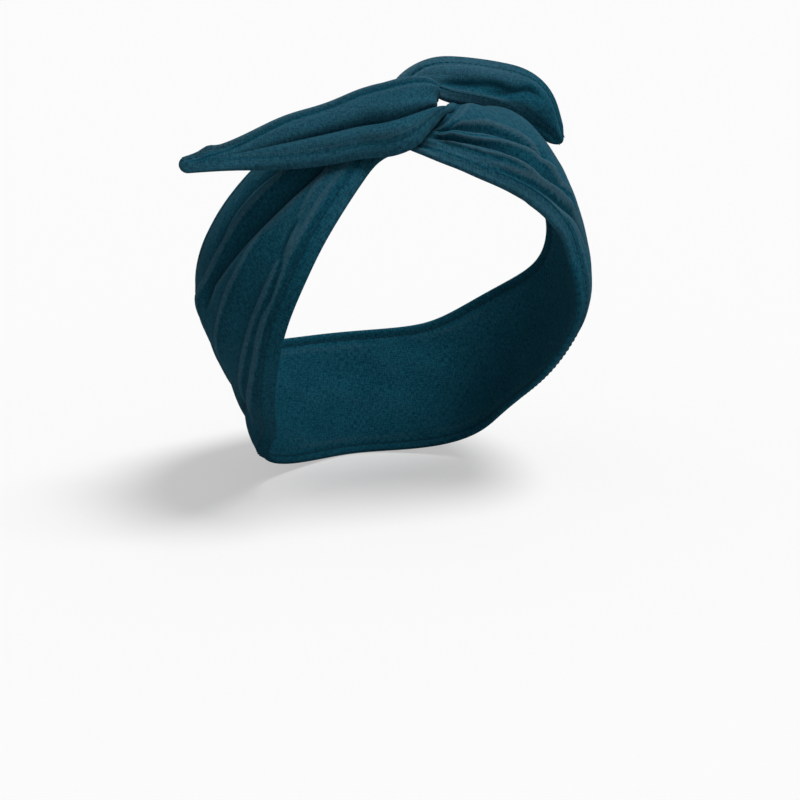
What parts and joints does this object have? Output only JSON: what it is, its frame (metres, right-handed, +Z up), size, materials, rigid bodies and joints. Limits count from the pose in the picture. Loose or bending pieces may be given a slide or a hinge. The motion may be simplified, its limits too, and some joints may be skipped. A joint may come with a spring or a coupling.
{
  "type": "knotted headband",
  "caption": "Wired twist headband: a doubled strip of navy twill with bendable wire in its edges, crossed in one knot over the brow with two pointed tails.",
  "frame": {"origin": "middle of the wearer's head, level with the middle of the band's opening", "axes": "+Z up, -Y the way the wearer looks, +X to the wearer's left, which is the right as seen from the front"},
  "size_m": [0.1943, 0.1466, 0.202],
  "materials": {
    "outer_cloth": "matte navy cotton twill",
    "lining_cloth": "matte navy cotton twill, inner layer",
    "thread": "navy sewing thread",
    "wire": "annealed bendable steel wire"
  },
  "bodies": {
    "band": {"band_outer_panel": "outer_cloth", "band_lining": "lining_cloth", "front_edge_wire": "wire", "back_edge_wire": "wire", "band_front_topstitch": "thread", "band_back_topstitch": "thread", "knot_left_strand": "outer_cloth", "knot_right_strand": "outer_cloth"},
    "left_tail": {"left_tail_front_panel": "outer_cloth", "left_tail_back_panel": "lining_cloth", "left_tail_wire": "wire", "left_tail_topstitch": "thread", "left_tip_closing_stitches": "thread"},
    "right_tail": {"right_tail_front_panel": "outer_cloth", "right_tail_back_panel": "lining_cloth", "right_tail_wire": "wire", "right_tail_topstitch": "thread"}
  },
  "joints": [
    {"name": "left_tail_bend", "type": "hinge", "parent": "band", "child": "left_tail", "pos_m": [-0.0323, -0.0467, 0.1066], "axis": [0.025, 0.6958, 0.7178], "range_deg": [0, 70]},
    {"name": "right_tail_bend", "type": "hinge", "parent": "band", "child": "right_tail", "pos_m": [0.021, -0.0177, 0.1182], "axis": [0.077, -0.485, -0.8711], "range_deg": [0, 70]}
  ]
}
